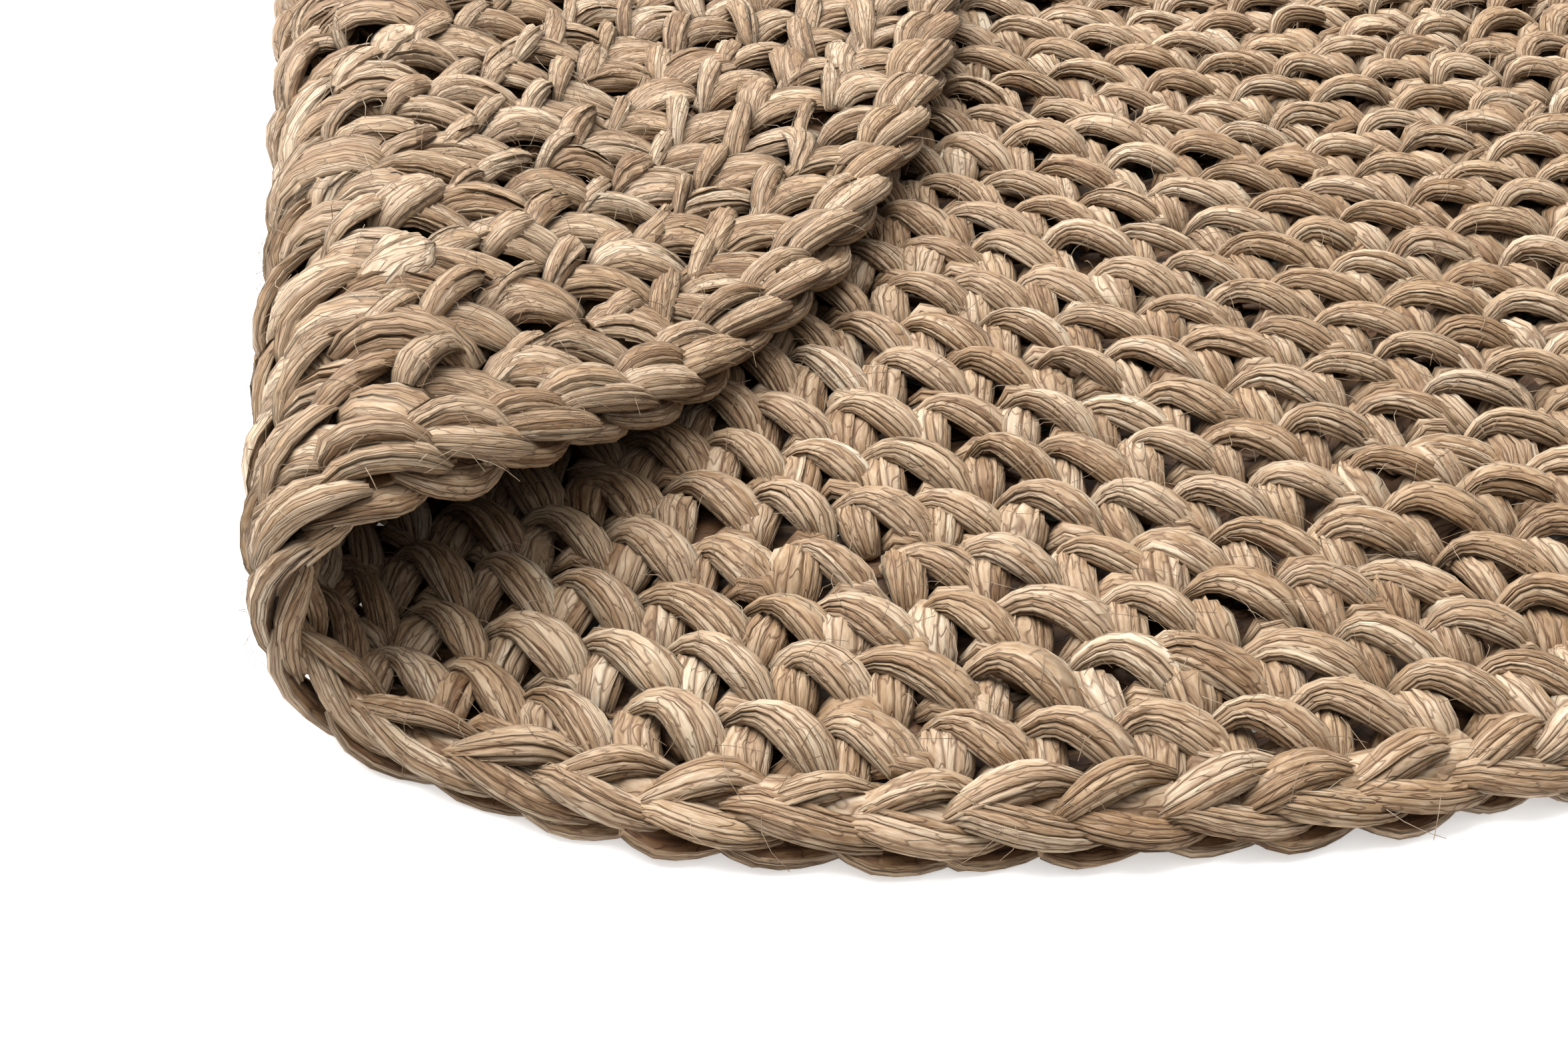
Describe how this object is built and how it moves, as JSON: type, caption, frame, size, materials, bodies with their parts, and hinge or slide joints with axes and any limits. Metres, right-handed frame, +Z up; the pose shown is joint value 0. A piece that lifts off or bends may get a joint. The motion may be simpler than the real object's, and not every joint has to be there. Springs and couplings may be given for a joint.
{
  "type": "area rug",
  "caption": "Round hand-crocheted jute rug with a chain-stitch edging, one side folded over on top; the fold opens out flat.",
  "frame": {"origin": "centre of the crocheted rounds, on the underside of the rug, which is the floor", "axes": "+Z up; the fold line runs along Y on the -X side and the folded side lies towards +X on top of the rug"},
  "size_m": [0.6563, 0.9, 0.0584],
  "materials": {
    "jute_crochet": "matte hand-crocheted natural jute yarn",
    "jute_edging": "matte chain-stitched natural jute yarn"
  },
  "bodies": {
    "floor_part": {"border": "jute_edging", "rounds_10_to_12": "jute_crochet", "rounds_13_to_15": "jute_crochet", "rounds_16_to_18": "jute_crochet", "rounds_19_to_21": "jute_crochet", "rounds_1_to_3": "jute_crochet", "rounds_22_to_24": "jute_crochet", "rounds_4_to_6": "jute_crochet", "rounds_7_to_9": "jute_crochet", "start_loop": "jute_crochet"},
    "bend_1": {"bend_1_border_back": "jute_edging", "bend_1_border_front": "jute_edging", "bend_1_rounds": "jute_crochet"},
    "bend_2": {"bend_2_border_back": "jute_edging", "bend_2_border_front": "jute_edging", "bend_2_rounds": "jute_crochet"},
    "bend_3": {"bend_3_border_back": "jute_edging", "bend_3_border_front": "jute_edging", "bend_3_rounds": "jute_crochet"},
    "bend_4": {"bend_4_border_back": "jute_edging", "bend_4_border_front": "jute_edging", "bend_4_rounds": "jute_crochet"},
    "bend_5": {"bend_5_border_back": "jute_edging", "bend_5_border_front": "jute_edging", "bend_5_rounds": "jute_crochet"},
    "bend_6": {"bend_6_border_back": "jute_edging", "bend_6_border_front": "jute_edging", "bend_6_rounds": "jute_crochet"},
    "ramp": {"ramp_border_back": "jute_edging", "ramp_border_front": "jute_edging", "ramp_last_rounds_back": "jute_crochet", "ramp_last_rounds_front": "jute_crochet", "ramp_rounds": "jute_crochet"},
    "flap": {"flap_border": "jute_edging", "flap_last_rounds": "jute_crochet", "flap_rounds": "jute_crochet"}
  },
  "joints": [
    {"name": "fold_1", "type": "hinge", "parent": "floor_part", "child": "bend_1", "pos_m": [-0.18276, 0, 0.007], "axis": [0, -1, 0], "range_deg": [0, 29]},
    {"name": "fold_2", "type": "hinge", "parent": "bend_1", "child": "bend_2", "pos_m": [-0.19271, 0, 0.01252], "axis": [0, -1, 0], "range_deg": [0, 29]},
    {"name": "fold_3", "type": "hinge", "parent": "bend_2", "child": "bend_3", "pos_m": [-0.19874, 0, 0.02217], "axis": [0, -1, 0], "range_deg": [0, 29]},
    {"name": "fold_4", "type": "hinge", "parent": "bend_3", "child": "bend_4", "pos_m": [-0.19933, 0, 0.03353], "axis": [0, -1, 0], "range_deg": [0, 29]},
    {"name": "fold_5", "type": "hinge", "parent": "bend_4", "child": "bend_5", "pos_m": [-0.19435, 0, 0.04376], "axis": [0, -1, 0], "range_deg": [0, 29]},
    {"name": "fold_6", "type": "hinge", "parent": "bend_5", "child": "bend_6", "pos_m": [-0.18502, 0, 0.05029], "axis": [0, -1, 0], "range_deg": [0, 29]},
    {"name": "fold_7", "type": "hinge", "parent": "bend_6", "child": "ramp", "pos_m": [-0.17371, 0, 0.05147], "axis": [0, -1, 0], "range_deg": [0, 29]},
    {"name": "flap_level", "type": "hinge", "parent": "ramp", "child": "flap", "pos_m": [-0.10286, 0, 0.0214], "axis": [0, 1, 0], "range_deg": [0, 23]}
  ],
  "couplings": [
    {"joint": "fold_1", "follows": "flap_level", "ratio": 1.2609},
    {"joint": "fold_2", "follows": "flap_level", "ratio": 1.2609},
    {"joint": "fold_3", "follows": "flap_level", "ratio": 1.2609},
    {"joint": "fold_4", "follows": "flap_level", "ratio": 1.2609},
    {"joint": "fold_5", "follows": "flap_level", "ratio": 1.2609},
    {"joint": "fold_6", "follows": "flap_level", "ratio": 1.2609},
    {"joint": "fold_7", "follows": "flap_level", "ratio": 1.2609}
  ]
}
